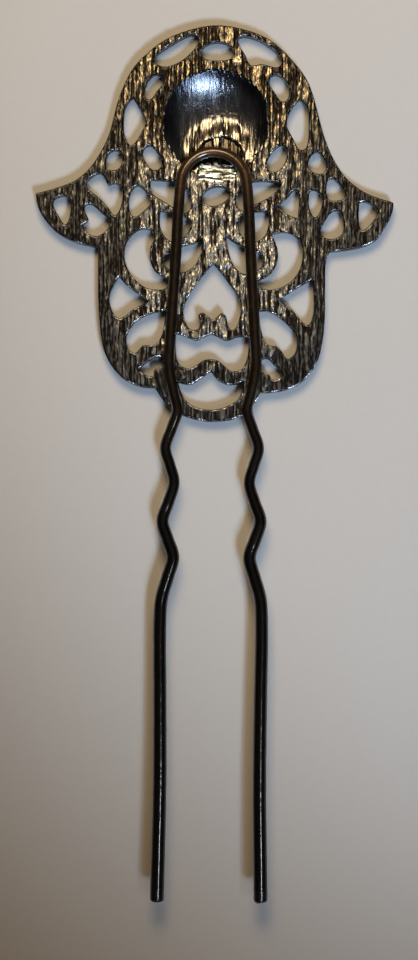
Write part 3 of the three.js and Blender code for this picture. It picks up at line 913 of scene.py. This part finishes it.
class Nodes:
    """Short ways to lay out a material's nodes."""

    def __init__(self, name):
        self.material = bpy.data.materials.new(name)
        self.material.use_nodes = True
        self.tree = self.material.node_tree
        self.shader = self.tree.nodes["Principled BSDF"]

    def add(self, kind, inputs=(), **settings):
        node = self.tree.nodes.new(kind)
        for key, value in settings.items():
            setattr(node, key, value)
        for key, value in dict(inputs).items():
            self.put(node.inputs[key], value)
        return node

    def put(self, socket, value):
        """Links another node's output to a socket, or sets its value."""
        if isinstance(value, bpy.types.NodeSocket):
            self.tree.links.new(value, socket)
        elif socket.type == "RGBA":
            socket.default_value = (*value[:3], 1)
        else:
            socket.default_value = value

    def set(self, **values):
        for key, value in values.items():
            self.put(self.shader.inputs[key.replace("_", " ")], value)

    def layer(self, name):
        """A painted layer of the mesh."""
        return self.add("ShaderNodeAttribute", attribute_name=name).outputs["Fac"]

    def place(self):
        return self.add("ShaderNodeTexCoord").outputs["Object"]

    def noise(self, scale, detail=3.0, rough=0.55):
        """Noise with features of about one over the scale, in metres."""
        spread = self.add("ShaderNodeMapping", {"Vector": self.place(), "Scale": scale})
        return self.add("ShaderNodeTexNoise", {
            "Vector": spread.outputs[0], "Scale": 1.0, "Detail": detail, "Roughness": rough,
        }).outputs["Fac"]

    def span(self, value, low, high, out_low=0.0, out_high=1.0):
        """Moves smoothly from out_low to out_high as the value goes from low to high."""
        return self.add("ShaderNodeMapRange", {
            "Value": value, "From Min": low, "From Max": high,
            "To Min": out_low, "To Max": out_high,
        }, interpolation_type="SMOOTHSTEP").outputs["Result"]

    def math(self, operation, a, b):
        node = self.add("ShaderNodeMath", operation=operation)
        self.put(node.inputs[0], a)
        self.put(node.inputs[1], b)
        return node.outputs[0]

    def times(self, a, b):
        return self.math("MULTIPLY", a, b)

    def plus(self, a, b):
        return self.math("ADD", a, b)

    def rest(self, share):
        """What is left of one."""
        return self.math("SUBTRACT", 1.0, share)

    def mix(self, share, a, b, kind="RGBA"):
        """Colour a where the share is 0 and colour b where it is 1."""
        node = self.add("ShaderNodeMix", data_type=kind)
        self.put(node.inputs["Factor"], share)
        self.put(node.inputs["A"], a)
        self.put(node.inputs["B"], b)
        return node.outputs["Result"]

    def mix_values(self, share, a, b):
        return self.mix(share, a, b, "FLOAT")

    def bump(self, height, distance, strength=1.0):
        inputs = {"Height": height, "Distance": distance, "Strength": strength}
        return self.add("ShaderNodeBump", inputs).outputs["Normal"]


STREAK_SPAN = (0.35, 0.65)  # the middle part of a noise, stretched to its full range
MOTTLE_SPAN = (0.3, 0.7)


def cast_colour(n, fibres, height):
    """Dark gunmetal, bright on its ridges as wear and painted highlight, quieter where the
    casting is calm.
    """
    patches = n.noise((260, 180, 200), 3.0)
    # bright ridges: wear, and painted highlight standing in for the lamps' glints on the grain
    worn_and_sheen = n.span(height, 0.525, 0.69)
    dark = n.mix(patches, (0.009, 0.006, 0.004), (0.028, 0.018, 0.011))
    plain = n.mix(patches, (0.42, 0.42, 0.40), (0.60, 0.60, 0.57))
    # golden ridges at the top: painted sheen of the warm lamp
    golden = n.mix(patches, (0.36, 0.295, 0.19), (0.62, 0.525, 0.36))
    cast = n.mix(worn_and_sheen, dark, n.mix(n.layer("gold"), plain, golden))
    quiet = n.mix(n.span(fibres, 0.44, 0.66), (0.004, 0.004, 0.004), (0.105, 0.108, 0.112))
    # quieter casting low down and on the sides; towards the foot this darkening is painted
    # shade
    cast = n.mix(n.times(n.layer("calm_and_shade"), 0.8), cast, quiet)
    cast = n.mix(n.times(n.layer("lip"), 0.8), cast, (0.035, 0.036, 0.040))
    # painted highlight: blue-white dashes on rims that face the lamps
    cast = n.mix(n.times(n.layer("painted_glint"), 0.85), cast, (0.66, 0.69, 0.74))
    return cast, worn_and_sheen


def dish_colour(n, haze):
    """Bluish steel, gilt on the mound, with a painted dark reflection inside the upper rim,
    and soot with painted shadow behind the bow.
    """
    steel = n.mix(haze, (0.08, 0.083, 0.098), (0.26, 0.27, 0.29))
    streaks = n.span(n.noise((3200, 500, 800), 2.0), *STREAK_SPAN)
    gilt = n.mix(streaks, (0.08, 0.065, 0.04), (0.48, 0.45, 0.38))
    steel = n.mix(n.times(n.layer("brass"), 0.85), steel, gilt)
    # painted dark reflection: a dark band inside the upper rim
    steel = n.mix(n.times(n.layer("rim"), 0.9), steel, (0.02, 0.023, 0.03))
    # soot and painted shade: dark along the bow and in the recess behind it
    return n.mix(n.times(n.layer("soot_and_shade"), 0.85), steel, (0.030, 0.022, 0.015))


def plate_material():
    """The casting's gunmetal, with the bare dish and the filed facet in it."""
    n = Nodes("gunmetal_cast")
    calm_and_shade, dish, facet = n.layer("calm_and_shade"), n.layer("dish"), n.layer("facet")
    smooth = n.math("MAXIMUM", dish, facet)
    lines = n.noise((4600, 330, 900), 1.0, 0.5)
    dashes = n.noise((3700, 1300, 1000), 1.5, 0.5)
    fibres = n.plus(n.times(lines, 0.6), n.times(dashes, 0.4))
    height = n.plus(n.times(n.layer("ridge"), 0.45), n.times(fibres, 0.55))
    # more bright ridges between the legs and at the top: wear and painted sheen
    height = n.plus(height, n.times(n.layer("rubbed_and_sheen"), 0.12))
    haze = n.noise((900, 260, 400), 4.0)
    cast, worn_and_sheen = cast_colour(n, fibres, height)
    strokes = n.span(n.noise((600, 4200, 800), 3.0), *STREAK_SPAN)
    # filed bare metal; its bright strokes are tinted bluish as a painted reflection of the
    # cool lamp
    filed = n.mix(strokes, (0.05, 0.052, 0.056), (0.62, 0.72, 0.80))

    rough_cast = n.math("SUBTRACT", 0.44, n.times(worn_and_sheen, 0.14))
    rough_cast = n.mix_values(n.times(n.layer("lip"), 0.9), rough_cast, 0.22)
    rough_dish = n.span(haze, *MOTTLE_SPAN, 0.15, 0.24)

    fine = n.noise((4200, 1100, 3000), 1.5, 0.5)
    shallow = n.rest(n.times(calm_and_shade, 0.5))
    cast_bumps = n.times(n.times(fine, shallow), n.rest(smooth))
    dish_bumps = n.times(n.times(n.noise((7000, 600, 2500), 2.0), smooth), 0.16)
    n.set(
        Base_Color=n.mix(facet, n.mix(dish, cast, dish_colour(n, haze)), filed),
        Metallic=0.95,
        Roughness=n.mix_values(smooth, rough_cast, rough_dish),
        Coat_Weight=0.12,
        Coat_Roughness=0.12,
        Normal=n.bump(n.plus(cast_bumps, dish_bumps), 0.00020),
    )
    return n.material


BLACK_LACQUER = (0.0015, 0.0013, 0.0012), (0.005, 0.0042, 0.0036)
BROWN_LACQUER = (0.006, 0.004, 0.003), (0.030, 0.018, 0.010)
# copper of the bow: rubbed lacquer, with painted warm-lamp sheen
COPPER_WEAR_AND_SHEEN = (0.020, 0.011, 0.006), (0.13, 0.070, 0.034)
LACQUER_ROUGHNESS = (0.34, 0.46)
LACQUER_SHARPNESS = 0.10  # roughness of its clear coat


def wire_material():
    """Brown-black lacquer, rubbed coppery on the bow with painted warm-lamp sheen, and darker
    towards the tips.
    """
    n = Nodes("wire_lacquer")
    along = n.add("ShaderNodeSeparateXYZ", {"Vector": n.place()}).outputs["Y"]
    flecks = n.noise((1500, 900, 1500), 4.0, 0.6)
    colour = n.mix(
        n.span(along, *in_metres(BROWN_OVER)), n.mix(flecks, *BLACK_LACQUER),
        n.mix(flecks, *BROWN_LACQUER),
    )
    # copper on the bow: rubbed lacquer and painted warm-lamp sheen
    rubbed_and_sheen = n.span(along, *in_metres(COPPER_OVER))
    colour = n.mix(rubbed_and_sheen, colour, n.mix(flecks, *COPPER_WEAR_AND_SHEEN))
    waves = n.bump(n.noise((900, 3000, 900), 2.0), 0.00002, 0.6)
    n.set(
        Base_Color=colour,
        Metallic=0.6,
        Roughness=n.span(flecks, *MOTTLE_SPAN, *LACQUER_ROUGHNESS),
        Specular_IOR_Level=0.15,
        Coat_Weight=1.0,
        Coat_Roughness=LACQUER_SHARPNESS,
        Normal=waves,
        Coat_Normal=waves,
    )
    return n.material


def tip_material():
    """The same black lacquer, thick and glossy."""
    n = Nodes("tip_lacquer")
    flecks = n.noise((1200, 800, 1200), 4.0, 0.6)
    n.set(
        Base_Color=n.mix(flecks, *BLACK_LACQUER),
        Metallic=0.6,
        Roughness=n.span(flecks, *MOTTLE_SPAN, *LACQUER_ROUGHNESS),
        Coat_Weight=1.0,
        Coat_Roughness=LACQUER_SHARPNESS,
        Normal=n.bump(n.noise((1500, 900, 1500), 3.0), 0.00002, 0.5),
    )
    return n.material


def solder_material():
    """Smooth flowed solder, plated as dark as the calm parts of the casting."""
    n = Nodes("dark_solder")
    mottle = n.noise((1300, 700, 900), 4.0)
    n.set(
        Base_Color=n.mix(mottle, (0.014, 0.013, 0.013), (0.11, 0.105, 0.10)),
        Metallic=0.95,
        Roughness=n.span(mottle, *MOTTLE_SPAN, 0.30, 0.44),
        Normal=n.bump(n.noise((2200, 1400, 2200), 3.0), 0.00005, 0.8),
    )
    return n.material


def floor_material():
    """Matt pale paper, even round FLOOR_BRIGHT and darker far away from it as painted shade.
    """
    n = Nodes("matt_paper")
    fibre = n.noise((900, 900, 900), 5.0, 0.6)
    away = n.add("ShaderNodeVectorMath", operation="DISTANCE")
    n.put(away.inputs[0], n.place())
    n.put(away.inputs[1], in_metres(FLOOR_BRIGHT))
    # painted shade: how far the paper turns dark brown, away from its lit middle
    dim = n.span(away.outputs["Value"], *in_metres(FLOOR_PAINTED_SHADE))
    paper = n.mix(fibre, (0.655, 0.650, 0.650), (0.690, 0.685, 0.685))
    n.set(
        Base_Color=n.mix(dim, paper, (0.22, 0.16, 0.10)),
        Roughness=0.75,
        Specular_IOR_Level=0.2,
        Normal=n.bump(fibre, 0.00002, 0.4),
    )
    return n.material


# ------------------------------------------------------------------ scene

def build_floor():
    """The paper that the fork lies on."""
    half = FLOOR_HALF * MM
    mesh = bpy.data.meshes.new("floor")
    corners = [(-half, -half, 0), (half, -half, 0), (half, half, 0), (-half, half, 0)]
    mesh.from_pydata(corners, [], [(0, 1, 2, 3)])
    floor = bpy.data.objects.new("floor", mesh)
    bpy.context.scene.collection.objects.link(floor)
    mesh.materials.append(floor_material())


def add_lamp(name, direction, distance, radius, watts, colour, aim, cone):
    """A round lamp in a direction from the origin, pointed at a place on the floor."""
    lamp = bpy.data.lights.new(name, "SPOT")
    lamp.shadow_soft_size = radius
    lamp.spot_size = math.radians(cone)
    lamp.spot_blend = 1.0
    lamp.energy = watts
    lamp.color = colour
    holder = bpy.data.objects.new(name, lamp)
    holder.location = Vector(direction).normalized() * distance
    towards = holder.location - Vector((*aim, 0)) * MM
    holder.rotation_euler = towards.to_track_quat("Z", "Y").to_euler()
    bpy.context.scene.collection.objects.link(holder)


def build_room():
    """Dim warm light from all round."""
    world = bpy.data.worlds.new("room")
    world.use_nodes = True
    sky = world.node_tree.nodes["Background"]
    sky.inputs["Color"].default_value = ROOM_COLOUR
    sky.inputs["Strength"].default_value = ROOM_STRENGTH
    bpy.context.scene.world = world


def build_camera():
    """Looks straight down from above the middle of the fork, turned very slightly."""
    lens = bpy.data.cameras.new("camera")
    lens.sensor_fit = "VERTICAL"
    lens.sensor_height = CAMERA_SENSOR
    lens.lens = CAMERA_LENS
    lens.clip_start = 0.01
    lens.clip_end = 10
    camera = bpy.data.objects.new("camera", lens)
    camera.location = in_metres(CAMERA_AT)
    camera.rotation_euler = (0, 0, CAMERA_TURN)
    bpy.context.scene.collection.objects.link(camera)
    bpy.context.scene.camera = camera


build_camera()
build_floor()
add_lamp("warm_lamp", **WARM_LAMP)
add_lamp("cool_lamp", **COOL_LAMP)
add_lamp("high_lamp", **HIGH_LAMP)
build_room()
bpy.context.scene.view_settings.view_transform = "Standard"
build_plate(plate_material())
build_wire(wire_material())
lacquer = tip_material()
build_tip("tip_left", -1, "lacquer_tip_left", lacquer)
build_tip("tip_right", 1, "lacquer_tip_right", lacquer)
solder = solder_material()
for solder_node in SOLDER_NODES:
    build_solder(solder_node, solder)


def plain(bounds):
    """Bounds as lists that json can write."""
    return [[float(value) for value in corner] for corner in bounds]
